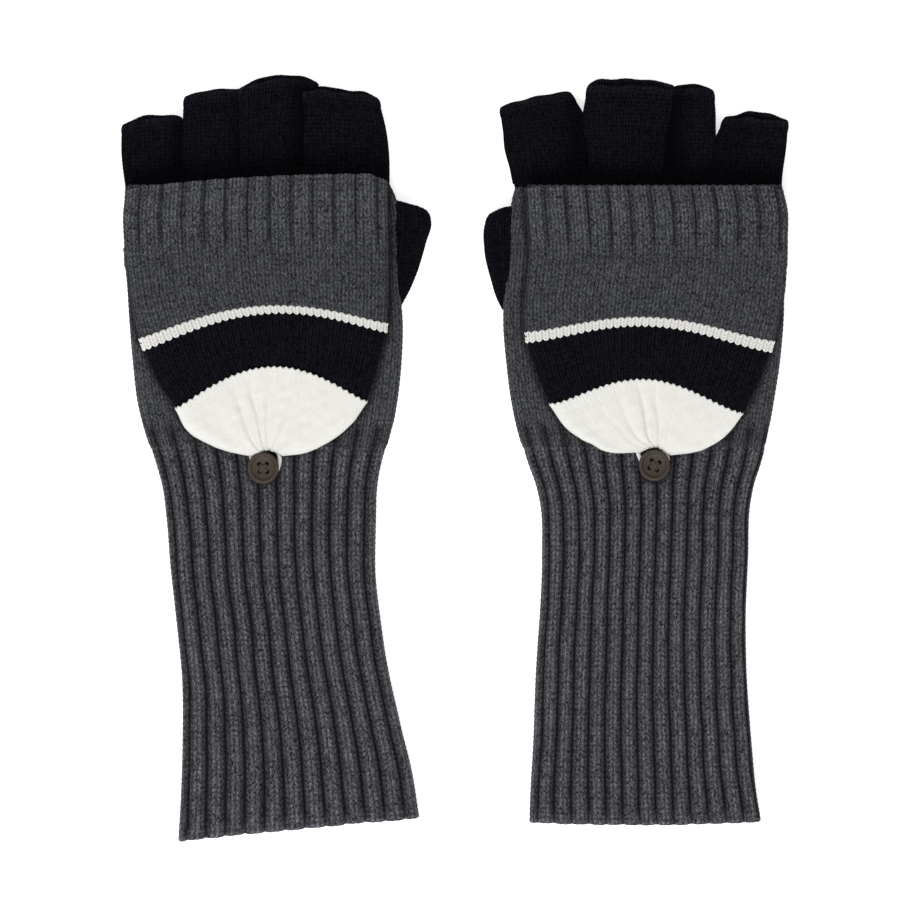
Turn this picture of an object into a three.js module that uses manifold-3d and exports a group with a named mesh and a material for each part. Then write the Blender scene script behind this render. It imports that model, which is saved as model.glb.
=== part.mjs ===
// A pair of convertible flip-top mittens, lying flat: millimetres, +Z up, fingertips towards +Y.
// Each glove is a ribbed cuff, a plain hand, four open finger stubs and an open thumb, with a
// mitten flap that hinges at the knuckles and is folded back, its loop caught under a button.
import * as THREE from "three";
import { ParametricGeometry } from "three/addons/geometries/ParametricGeometry.js";
import { mergeVertices } from "three/addons/utils/BufferGeometryUtils.js";
import Module from "manifold-3d";

// Heights of the layers above the table
const HAND_TOP = 8.6; // the hand and cuff lie on the table
const HAND_WALL = 2.1;
const KNUCKLE_WALL = 1.2; // the hand thins towards the fingers
const FINGER_LOW = 2.2; // the closed flap's palm side passes under the fingers
const FINGER_TOP = 8.5;
const FINGER_WALL = 1.0;
const THUMB_TOP = 9.6;
const THUMB_WALL = 1.4;
const FLAP_LOW = 8.9; // the folded flap lies on the hand's back
const FLAP_WALL = 1.9;
const FLAP_MOUTH_TOP = 19.6; // the pouch stands open wide enough for the fingers
const FLAP_STRIPE_TOP = 17.6;
const FLAP_BAND_TOP = 14.6;
const FLAP_TIP_TOP = 12;
const GAP = 0.3; // between pieces that touch

// The hinge line of the flap runs along X through these
const HINGE_Y = 100.5;
const HINGE_Z = 9.85;
const SEAM_RADIUS = 0.7;
const SEAM_CLEARANCE = 1.1;

// Button and loop
const BUTTON_RADIUS = 5.85;
const BUTTON_THICK = 2.6;
const BUTTON_LOW = 10.7;
const RIM_WIDTH = 1.5;
const DISH_DEPTH = 0.8;
const HOLE_RADIUS = 0.65;
const HOLE_OFFSET = 1.25; // from the button's centre to a hole, along each axis
const HOLE_TURN = 25; // degrees
const THREAD_RADIUS = 0.4;
const SHANK_RADIUS = 1;
const LOOP_CORD_RADIUS = 0.7;
const LOOP_HALF_WIDTH = 3.4;
const LOOP_HALF_LENGTH = 4.4;

// Window between the thumb and the hand
const WINDOW_HALF_LENGTH = 8;
const WINDOW_HALF_HEIGHT = 2;

const FLAT_STEPS = 6; // facets across a flat side
const SIDE_STEPS = 4; // facets round a rounded side
const ROUND_STEPS = 24; // facets round a button

const COLOURS = {
  grey: { color: 0x4b4c50, roughness: 0.95, metalness: 0 },
  black: { color: 0x0f0f12, roughness: 0.95, metalness: 0 },
  white: { color: 0xeeeee8, roughness: 0.9, metalness: 0 },
  horn: { color: 0x463e34, roughness: 0.35, metalness: 0 },
  thread: { color: 0x8a8070, roughness: 0.8, metalness: 0 },
};

// A row of stitches in plan: its two ends, left [x, y] and right [x, y], and how far its middle
// bows towards +Y. Some rows have a wall or a height of their own.
const LEFT_GLOVE = {
  side: "left",
  cuff: [
    { left: [-102, -138.5], right: [-13.3, -131.3], bow: -1.5 },
    { left: [-101.2, -122], right: [-16, -116] },
    { left: [-100.6, -90], right: [-21.5, -88] },
    { left: [-103.6, -52], right: [-28.1, -52] },
    { left: [-106.4, -28], right: [-29.5, -28] },
    { left: [-109.6, -8], right: [-27.6, -8] },
    { left: [-113, 5], right: [-25, 5] },
  ],
  hand: [
    { left: [-113, 5], right: [-25, 5] },
    { left: [-118, 22], right: [-22.4, 22] },
    { left: [-120.4, 50], right: [-21.5, 50] },
    { left: [-122.4, 80], right: [-21.8, 80], wall: KNUCKLE_WALL },
    { left: [-122.4, 100], right: [-25, 100], wall: KNUCKLE_WALL },
  ],
  knuckles: [
    { left: [-122.4, 100], right: [-25, 100] },
    { left: [-123, 109.7], right: [-24.6, 109.7] },
  ],
  fingers: {
    little_finger: [
      { left: [-123, 110], right: [-100.2, 110] },
      { left: [-123.6, 124], right: [-99.9, 124.8], bow: 1.8 },
    ],
    ring_finger: [
      { left: [-99.9, 110], right: [-78.9, 110] },
      { left: [-99.6, 133.5], right: [-79, 135.6], bow: 1 },
    ],
    middle_finger: [
      { left: [-78.6, 110], right: [-53.4, 110] },
      { left: [-78.7, 135.8], right: [-53, 137.6], bow: 4.2 },
    ],
    index_finger: [
      { left: [-53.1, 110], right: [-24.6, 110] },
      { left: [-52.7, 136.5], right: [-29.2, 133.6], bow: 1 },
    ],
  },
  thumb: [
    { left: [-20.8, 58], right: [-16.6, 59.5], low: 2, high: 7 },
    { left: [-21.2, 66], right: [-14.2, 68.5], high: 9 },
    { left: [-21.3, 80], right: [-11, 81.5] },
    { left: [-20.6, 94.2], right: [-8.9, 90.8], bow: 0.6 },
  ],
  thumbWindow: { x: -21.2, y: 76 },
  flap: {
    mouth: { left: [-122.1, 99.3], right: [-25.6, 104.6], bow: 0.5 },
    weltEnd: { left: [-121.8, 72], right: [-24.8, 76], bow: 0.5 },
    stripeStart: { left: [-116, 45], right: [-25.2, 50.3], bow: 9 },
    stripeEnd: { left: [-114.2, 40.2], right: [-25.4, 46.6], bow: 10.4 },
    tipStart: { left: [-103.9, 18.9], right: [-32.6, 22.3], bow: 13.6 },
    tipEnd: { left: [-100.4, 14.6], right: [-36.4, 17.6], bow: -13.2 },
  },
  button: [-70.9, -3.5],
};

const RIGHT_GLOVE = {
  side: "right",
  cuff: [
    { left: [28, -134], right: [113.1, -133], bow: -2 },
    { left: [28.4, -115], right: [110.7, -115] },
    { left: [30.3, -82], right: [108, -82] },
    { left: [31.8, -52], right: [107.7, -52] },
    { left: [32, -28], right: [108.6, -28] },
    { left: [29.6, -8], right: [111.2, -8] },
    { left: [25.2, 5], right: [114.8, 5] },
  ],
  hand: [
    { left: [25.2, 5], right: [114.8, 5] },
    { left: [21.6, 22], right: [118, 22] },
    { left: [20.6, 50], right: [121, 50] },
    { left: [21, 80], right: [121.8, 80], wall: KNUCKLE_WALL },
    { left: [22, 100], right: [121.4, 100], wall: KNUCKLE_WALL },
  ],
  knuckles: [
    { left: [22, 100], right: [121.4, 100] },
    { left: [20.2, 108.4], right: [121, 108.4] },
  ],
  fingers: {
    index_finger: [
      { left: [20.2, 108.7], right: [48.7, 108.7] },
      { left: [17, 129.8], right: [42.2, 134.8], bow: 0.8 },
    ],
    middle_finger: [
      { left: [49.2, 108.7], right: [79.4, 108.7] },
      { left: [48.6, 137.8], right: [79.4, 137.2], bow: 1.4 },
    ],
    ring_finger: [
      { left: [79.8, 108.7], right: [95.5, 108.7] },
      { left: [79.8, 137], right: [95.3, 136.6], bow: 0.8 },
    ],
    little_finger: [
      { left: [96, 108.7], right: [121, 108.7] },
      { left: [99.6, 125.6], right: [123.2, 124.6], bow: 1 },
    ],
  },
  thumb: [
    { left: [15.2, 58.5], right: [19.8, 57], low: 2, high: 7 },
    { left: [13, 68], right: [20.2, 66], high: 9 },
    { left: [11.2, 80], right: [20.6, 79] },
    { left: [11.1, 88.6], right: [20.9, 91.2], bow: 0.5 },
  ],
  thumbWindow: { x: 20.6, y: 74 },
  flap: {
    mouth: { left: [24.8, 100.6], right: [121, 100.8], bow: 0.6 },
    weltEnd: { left: [26.6, 71], right: [122, 71.6], bow: 0.5 },
    stripeStart: { left: [26.3, 46.8], right: [117.6, 43.6], bow: 7.4 },
    stripeEnd: { left: [26.5, 43], right: [116.6, 39], bow: 8.2 },
    tipStart: { left: [34.9, 20.2], right: [106.1, 17], bow: 10.6 },
    tipEnd: { left: [38.4, 15.6], right: [102, 13], bow: -10.3 },
  },
  button: [73.7, -2.5],
};

const wasm = await Module();
wasm.setup();

// A closed geometry as a manifold-3d solid, with collapsed triangles dropped.
function solidOf(geometry) {
  geometry.deleteAttribute("normal");
  geometry.deleteAttribute("uv");
  const merged = mergeVertices(geometry, 1e-3);
  const corners = merged.index.array;
  const kept = [];
  for (let i = 0; i < corners.length; i += 3) {
    const [a, b, c] = corners.slice(i, i + 3);
    if (a !== b && b !== c && c !== a) kept.push(a, b, c);
  }
  return new wasm.Manifold(
    new wasm.Mesh({
      numProp: 3,
      vertProperties: merged.attributes.position.array,
      triVerts: new Uint32Array(kept),
    }),
  );
}

// A closed surface through loops of points, all with the same count. A cyclic loft joins its
// last loop to its first, as a thick-walled tube does; any other has loops that close its ends.
function loft(loops, cyclic) {
  const around = loops[0].length;
  const along = cyclic ? loops.length : loops.length - 1;
  const pointAt = (u, v, target) => {
    const loop = loops[Math.round(v * along) % loops.length];
    target.copy(loop[Math.round(u * around) % around]);
  };
  return solidOf(new ParametricGeometry(pointAt, around, along));
}

// The point of a row at a distance in from its left end, at a height.
function onRow(row, distance, z) {
  const [xl, yl] = row.left;
  const [xr, yr] = row.right;
  const across = distance / Math.hypot(xr - xl, yr - yl);
  const s = 2 * across - 1;
  const y = yl + (yr - yl) * across + (row.bow ?? 0) * (1 - s * s);
  return new THREE.Vector3(xl + (xr - xl) * across, y, z);
}

const widthOf = (row) =>
  Math.hypot(row.right[0] - row.left[0], row.right[1] - row.left[1]);

// The row moved along Y, where a piece stops short of its neighbour.
const shifted = (row, dy) => ({
  ...row,
  left: [row.left[0], row.left[1] + dy],
  right: [row.right[0], row.right[1] + dy],
});

// The row between two rows, at share t.
function between(a, b, t) {
  const mix = (p, q) => p + (q - p) * t;
  return {
    left: [mix(a.left[0], b.left[0]), mix(a.left[1], b.left[1])],
    right: [mix(a.right[0], b.right[0]), mix(a.right[1], b.right[1])],
    bow: mix(a.bow ?? 0, b.bow ?? 0),
    low: mix(a.low, b.low),
    high: mix(a.high, b.high),
  };
}

// Half of a flattened tube's section: the side at one end of the row, from bottom to top.
function sidePath(row, inset, atRight) {
  const low = row.low + inset;
  const high = row.high - inset;
  const rise = (high - low) / 2;
  const width = widthOf(row);
  const reach = Math.min(rise, width / 2 - inset - 0.2);
  const path = [];
  for (let i = 0; i <= SIDE_STEPS; i++) {
    const angle = Math.PI * (i / SIDE_STEPS - 0.5);
    const fromEnd = inset + reach * (1 - Math.cos(angle));
    const z = (low + high) / 2 + rise * Math.sin(angle);
    path.push(onRow(row, atRight ? width - fromEnd : fromEnd, z));
  }
  return path;
}

// Points along a row between two points of it, ends left out, at a height.
function flatPath(row, from, to, z) {
  const left = row.left[0];
  const stretch = widthOf(row) / (row.right[0] - left);
  const path = [];
  for (let i = 1; i < FLAT_STEPS; i++) {
    const x = from.x + (to.x - from.x) * (i / FLAT_STEPS);
    path.push(onRow(row, (x - left) * stretch, z));
  }
  return path;
}

// The loop round a flattened tube's section, moved in from the outside by inset.
function tubeLoop(row, inset) {
  const right = sidePath(row, inset, true);
  const left = sidePath(row, inset, false);
  const top = flatPath(row, left.at(-1), right.at(-1), row.high - inset);
  const bottom = flatPath(row, right[0], left[0], row.low + inset);
  return [...left, ...top, ...right.reverse(), ...bottom];
}

const closeToMiddle = (loop, row) =>
  loop.map((p) => p.clone().setZ((row.low + row.high) / 2));

// A knitted tube laid flat, open at both ends.
function openTube(rows, wall) {
  const outside = rows.map((row) => tubeLoop(row, 0));
  const inside = rows.map((row) => tubeLoop(row, row.wall ?? wall)).reverse();
  return loft([...outside, ...inside], true);
}

// A tube that is closed at its first row and open at its last. floor is the closed end's depth.
function closedTube(rows, wall, floor) {
  const outside = rows.map((row) => tubeLoop(row, 0));
  const inner = [between(rows[0], rows[1], floor), ...rows.slice(1)];
  const inside = inner.map((row) => tubeLoop(row, wall)).reverse();
  const start = closeToMiddle(outside[0], rows[0]);
  const end = closeToMiddle(inside.at(-1), inner[0]);
  return loft([start, ...outside, ...inside, end], false);
}

// A strip with two faces, through pairs of paths with equal counts, closed at both ends.
function strip(pairs) {
  const loops = pairs.map(([a, b]) => [...a, ...[...b].reverse()]);
  const middle = ([a, b]) => {
    const mid = a.map((p, i) => p.clone().add(b[i]).multiplyScalar(0.5));
    return [...mid, ...[...mid].reverse()];
  };
  return loft([middle(pairs[0]), ...loops, middle(pairs.at(-1))], false);
}

// The arch of the flap's palm side: up one side, over the top and down the other.
function archPath(row, inset) {
  const height = row.high - row.low;
  const straight = height - Math.min(height, 2 * FLAP_WALL + 1);
  const shoulder = { ...row, low: 2 * (row.low + straight) - row.high, high: row.high };
  const upper = (path) => path.slice(SIDE_STEPS / 2);
  const left = upper(sidePath(shoulder, inset, false));
  const right = upper(sidePath(shoulder, inset, true));
  const top = flatPath(row, left.at(-1), right.at(-1), row.high - inset);
  const foot = (p) => p.clone().setZ(row.low);
  return [foot(left[0]), ...left, ...top, ...right.reverse(), foot(right.at(-1))];
}

function archStrip(rows) {
  return strip(rows.map((row) => [archPath(row, 0), archPath(row, FLAP_WALL)]));
}

// The flat panel between the arch's feet.
function floorPanel(rows) {
  const inset = FLAP_WALL + GAP;
  const face = (row, z) => {
    const ends = [onRow(row, inset, z), onRow(row, widthOf(row) - inset, z)];
    return [ends[0], ...flatPath(row, ends[0], ends[1], z), ends[1]];
  };
  return strip(rows.map((row) => [face(row, FLAP_LOW + FLAP_WALL), face(row, FLAP_LOW)]));
}

const cylinder = (radius, height, sides) =>
  new THREE.CylinderGeometry(radius, radius, height, sides).rotateX(Math.PI / 2);

// The places of a button's four holes, round its centre.
function holePlaces() {
  const turn = THREE.MathUtils.degToRad(HOLE_TURN);
  return [45, 135, 225, 315].map((degrees) => {
    const angle = THREE.MathUtils.degToRad(degrees) + turn;
    const reach = HOLE_OFFSET * Math.SQRT2;
    return [reach * Math.cos(angle), reach * Math.sin(angle)];
  });
}

// A dished four-hole button with a raised rim.
function buttonSolid() {
  const r = BUTTON_RADIUS;
  const profile = [
    [0, 0],
    [r - 1, 0],
    [r, 0.8],
    [r, BUTTON_THICK - 0.7],
    [r - 0.5, BUTTON_THICK],
    [r - RIM_WIDTH, BUTTON_THICK],
    [r - RIM_WIDTH - 0.6, BUTTON_THICK - DISH_DEPTH],
    [0, BUTTON_THICK - DISH_DEPTH],
  ].map(([x, y]) => new THREE.Vector2(x, y));
  const lathe = new THREE.LatheGeometry(profile, ROUND_STEPS).rotateX(Math.PI / 2);
  let solid = solidOf(lathe);
  for (const [x, y] of holePlaces()) {
    const hole = cylinder(HOLE_RADIUS, 4 * BUTTON_THICK, 10).translate(x, y, 0);
    solid = solid.subtract(solidOf(hole));
  }
  return solid;
}

// The sewing thread: a shank under the button, a leg up each hole and a cross on top.
function threadSolid() {
  const dish = BUTTON_THICK - DISH_DEPTH;
  const shankHeight = BUTTON_LOW - HAND_TOP - 2 * GAP;
  const top = dish + GAP + THREAD_RADIUS;
  const shank = cylinder(SHANK_RADIUS, shankHeight, 12);
  let solid = solidOf(shank.translate(0, 0, -GAP - shankHeight / 2));
  const foot = cylinder(HOLE_OFFSET * Math.SQRT2 + THREAD_RADIUS, GAP, 16).translate(0, 0, -GAP * 1.5);
  solid = solid.add(solidOf(foot));
  const places = holePlaces();
  for (const [x, y] of places) {
    const leg = cylinder(THREAD_RADIUS, top + 1.2 * GAP, 8);
    solid = solid.add(solidOf(leg.translate(x, y, (top - 1.2 * GAP) / 2)));
  }
  for (const [a, b] of [[places[0], places[2]], [places[1], places[3]]]) {
    const line = new THREE.LineCurve3(
      new THREE.Vector3(a[0], a[1], top),
      new THREE.Vector3(b[0], b[1], top),
    );
    solid = solid.add(cordSolid(line, THREAD_RADIUS, 1));
  }
  return solid;
}

// A round cord along a curve.
function cordSolid(curve, radius, steps) {
  const circle = new THREE.Shape();
  for (let i = 0; i < 8; i++) {
    const angle = (2 * Math.PI * i) / 8;
    const corner = [radius * Math.cos(angle), radius * Math.sin(angle)];
    if (i) circle.lineTo(...corner);
    else circle.moveTo(...corner);
  }
  circle.closePath();
  return solidOf(
    new THREE.ExtrudeGeometry(circle, { steps, extrudePath: curve, curveSegments: 1 }),
  );
}

// The loop at the flap's tip, which passes round the button's shank.
function loopSolid([x, y]) {
  const z = HAND_TOP + GAP + LOOP_CORD_RADIUS + 0.1;
  const middle = y + LOOP_HALF_LENGTH - LOOP_HALF_WIDTH;
  const ends = [70, -250].map(THREE.MathUtils.degToRad);
  const points = [];
  for (let i = 0; i <= 12; i++) {
    const angle = ends[0] + (ends[1] - ends[0]) * (i / 12);
    const dx = LOOP_HALF_WIDTH * Math.cos(angle);
    const dy = LOOP_HALF_LENGTH * Math.sin(angle);
    points.push(new THREE.Vector3(x + dx, middle + dy, z));
  }
  return cordSolid(new THREE.CatmullRomCurve3(points), LOOP_CORD_RADIUS, 20);
}

function meshOf(name, solid, look) {
  const { numProp, vertProperties, triVerts } = solid.getMesh();
  const positions = new Float32Array((vertProperties.length / numProp) * 3);
  for (let i = 0; i < positions.length / 3; i++)
    positions.set(vertProperties.subarray(i * numProp, i * numProp + 3), i * 3);
  const geometry = new THREE.BufferGeometry();
  geometry.setAttribute("position", new THREE.BufferAttribute(positions, 3));
  geometry.setIndex(new THREE.BufferAttribute(triVerts, 1));
  geometry.computeVertexNormals();
  const mesh = new THREE.Mesh(geometry, new THREE.MeshStandardMaterial(COLOURS[look]));
  mesh.name = name;
  return mesh;
}

// The window through which the thumb's tube opens into the hand.
function thumbWindow({ x, y }) {
  const cutter = new THREE.CylinderGeometry(1, 1, 1, 16).rotateZ(Math.PI / 2);
  cutter.scale(4 * HAND_WALL, WINDOW_HALF_LENGTH, WINDOW_HALF_HEIGHT);
  return solidOf(cutter.translate(x, y, HAND_TOP / 2));
}

function glove(plan) {
  const group = new THREE.Group();
  const add = (name, solid, look) =>
    group.add(meshOf(plan.side + "_" + name, solid, look));
  const layer = (rows, low, high) => rows.map((row) => ({ low, high, ...row }));

  const cuff = layer(plan.cuff, 0, HAND_TOP);
  add("cuff", openTube([...cuff.slice(0, -1), shifted(cuff.at(-1), -GAP)], HAND_WALL), "grey");

  const window = thumbWindow(plan.thumbWindow);
  const hand = openTube(layer(plan.hand, 0, HAND_TOP), HAND_WALL);
  add("hand_body", hand.subtract(window), "grey");

  const knuckles = layer(plan.knuckles, FINGER_LOW, FINGER_TOP);
  const band = [shifted(knuckles[0], GAP), knuckles[1]];
  add("knuckle_band", openTube(band, FINGER_WALL), "black");
  for (const [name, rows] of Object.entries(plan.fingers)) {
    const finger = layer(rows, FINGER_LOW, FINGER_TOP);
    const middle = between(finger[0], finger[1], 0.5);
    add(name, openTube([finger[0], middle, finger[1]], FINGER_WALL), "black");
  }
  const thumb = closedTube(layer(plan.thumb, 0, THUMB_TOP), THUMB_WALL, 0.4);
  add("thumb", thumb.subtract(window), "black");

  const flap = Object.fromEntries(
    Object.entries(plan.flap).map(([key, row]) => [key, { ...row, low: FLAP_LOW }]),
  );
  flap.mouth.high = flap.weltEnd.high = FLAP_MOUTH_TOP;
  flap.stripeStart.high = flap.stripeEnd.high = FLAP_STRIPE_TOP;
  flap.tipStart.high = FLAP_BAND_TOP;
  flap.tipEnd.high = FLAP_TIP_TOP;
  const hingeRow = { ...flap.mouth, bow: 0 };
  const hingeSide = HINGE_Y - SEAM_CLEARANCE;
  hingeRow.left = [hingeRow.left[0], hingeSide];
  hingeRow.right = [hingeRow.right[0], hingeSide];
  const beforeStripe = shifted(flap.stripeStart, GAP);
  const palm = [shifted(flap.weltEnd, -GAP), beforeStripe];
  const floorRows = [hingeRow, flap.weltEnd, beforeStripe];
  palm.splice(1, 0, between(palm[0], palm[1], 0.6));
  palm[1].high = FLAP_MOUTH_TOP - 0.4;
  const upward = (rows) => [...rows].reverse();
  add("flap_rib_band", archStrip(upward([flap.mouth, flap.weltEnd])), "grey");
  add("flap_palm_panel", archStrip(upward(palm)), "grey");
  add("flap_back_panel", floorPanel(upward(floorRows)), "grey");
  const stripe = [shifted(flap.stripeEnd, GAP), flap.stripeStart];
  add("flap_white_stripe", openTube(stripe, FLAP_WALL), "white");
  const bandRows = [shifted(flap.tipStart, GAP), flap.stripeEnd];
  bandRows.splice(1, 0, between(bandRows[0], bandRows[1], 0.5));
  add("flap_black_band", openTube(bandRows, FLAP_WALL), "black");
  const tipRows = [0, 0.35, 0.7, 1].map((t) => between(flap.tipEnd, flap.tipStart, t));
  add("flap_white_tip", closedTube(tipRows, FLAP_WALL * 0.8, 0.6), "white");

  const seamFrom = new THREE.Vector3(hingeRow.left[0] + 3, HINGE_Y, HINGE_Z);
  const seamTo = new THREE.Vector3(hingeRow.right[0] - 3, HINGE_Y, HINGE_Z);
  const seam = new THREE.LineCurve3(seamFrom, seamTo);
  add("flap_seam", cordSolid(seam, SEAM_RADIUS, 1), "grey");

  add("button_loop", loopSolid(plan.button), "white");
  const [x, y] = plan.button;
  add("button", buttonSolid().translate([x, y, BUTTON_LOW]), "horn");
  add("button_thread", threadSolid().translate([x, y, BUTTON_LOW]), "thread");
  return group;
}

const pair = new THREE.Group();
pair.add(glove(LEFT_GLOVE), glove(RIGHT_GLOVE));

// The origin is on the table, under the middle of the pair.
const box = new THREE.Box3().setFromObject(pair);
const middle = box.getCenter(new THREE.Vector3());
pair.position.set(-middle.x, -middle.y, -box.min.z);

const mittens = new THREE.Group();
mittens.add(pair);
export default mittens;
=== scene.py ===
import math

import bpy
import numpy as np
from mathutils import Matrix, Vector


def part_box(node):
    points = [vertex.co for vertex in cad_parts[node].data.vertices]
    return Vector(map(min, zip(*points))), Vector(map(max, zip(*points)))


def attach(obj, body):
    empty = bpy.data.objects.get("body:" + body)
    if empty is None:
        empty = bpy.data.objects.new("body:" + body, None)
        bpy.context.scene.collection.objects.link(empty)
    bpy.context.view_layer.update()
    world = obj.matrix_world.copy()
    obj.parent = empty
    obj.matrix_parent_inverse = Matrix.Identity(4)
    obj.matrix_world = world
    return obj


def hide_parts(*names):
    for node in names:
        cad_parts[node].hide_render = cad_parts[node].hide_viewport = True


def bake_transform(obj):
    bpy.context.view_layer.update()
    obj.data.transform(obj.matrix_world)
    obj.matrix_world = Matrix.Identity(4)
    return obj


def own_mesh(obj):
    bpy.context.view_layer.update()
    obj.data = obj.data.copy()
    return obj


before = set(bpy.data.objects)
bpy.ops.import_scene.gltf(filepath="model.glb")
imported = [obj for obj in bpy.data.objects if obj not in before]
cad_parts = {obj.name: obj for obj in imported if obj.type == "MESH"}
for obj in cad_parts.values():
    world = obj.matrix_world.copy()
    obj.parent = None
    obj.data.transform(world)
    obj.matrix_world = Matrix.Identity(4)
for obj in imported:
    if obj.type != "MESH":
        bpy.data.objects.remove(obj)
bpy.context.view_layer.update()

# The looks of a pair of convertible flip-top mittens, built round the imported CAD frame.
#
# Each knitted piece is a thick shell whose mesh follows its courses and wales, so ribs, pleats, stitches
# and rounded edges are real relief. The finest fibres are left to the knit materials.
# The gloves are laid out in millimetres from the middle of each one's button. Everything else is in metres.

MM = 0.001
FLOOR_CLEARANCE = 0.12

# Gauge of the knit: width of a column of stitches, height of a row, and how far a stitch's legs climb
GREY_WALE = 2.66
GREY_COURSE = 1.95
WHITE_COURSE = 1.7
BLACK_WALE = 1.75
BLACK_COURSE = 1.5
STITCH_CLIMB = 0.7 * GREY_COURSE

# Mesh samples in each wale and course, rows skipped on the inside, steps round an edge, and how far
# round, in radians, the ends of a strip turn
PER_WALE = 6
PER_WALE_UNDER = 3
PER_COURSE = 4
INNER_SKIP = 6
RIM_STEPS = 4
STRIP_TURN = 1.45

# Relief, ribs and thickness
GREY_RELIEF = 0.42
BLACK_RELIEF = 0.26
WHITE_RELIEF = 0.3
RIB_DEPTH = 2.0
RIB_WALES = 2
RIB_SHARPNESS = 2.1
WELT_DEPTH = 1.15
WELT_SHARPNESS = 3.4
GREY_THICK = 1.2
CUFF_THICK = 2.6
WELT_THICK = 1.4
BLACK_THICK = 1.1
WHITE_THICK = 1.0
TIP_THICK = 0.8

# Heights above the table
CUFF_TOP = 8.35
HAND_TOP = 8.2
HAND_END_LOW = 3.6
FINGER_LOW = 3.6
FINGER_TOP = 7.6
THUMB_TOP = 6.8
FLAP_LOW = 9.0
FLAP_TOP = 19.1
STRIPE_TOP = 17.4
BAND_TOP = 14.4
TIP_TOP = 12.6

# The wales of the knuckle band, how many fewer wales the white tip has than the flap, and the points of the
# linking
KNUCKLE_WALES = 52
TIP_DECREASE = 3
SEAM_STEPS = 90

# Button: how far its holes are from its middle, their radius, and the radius where its painted shadow on
# the cuff starts
BUTTON_HOLE_CIRCLE = 2.0503
BUTTON_HOLE_RADIUS = 0.7
BUTTON_REACH = 5.85
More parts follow.
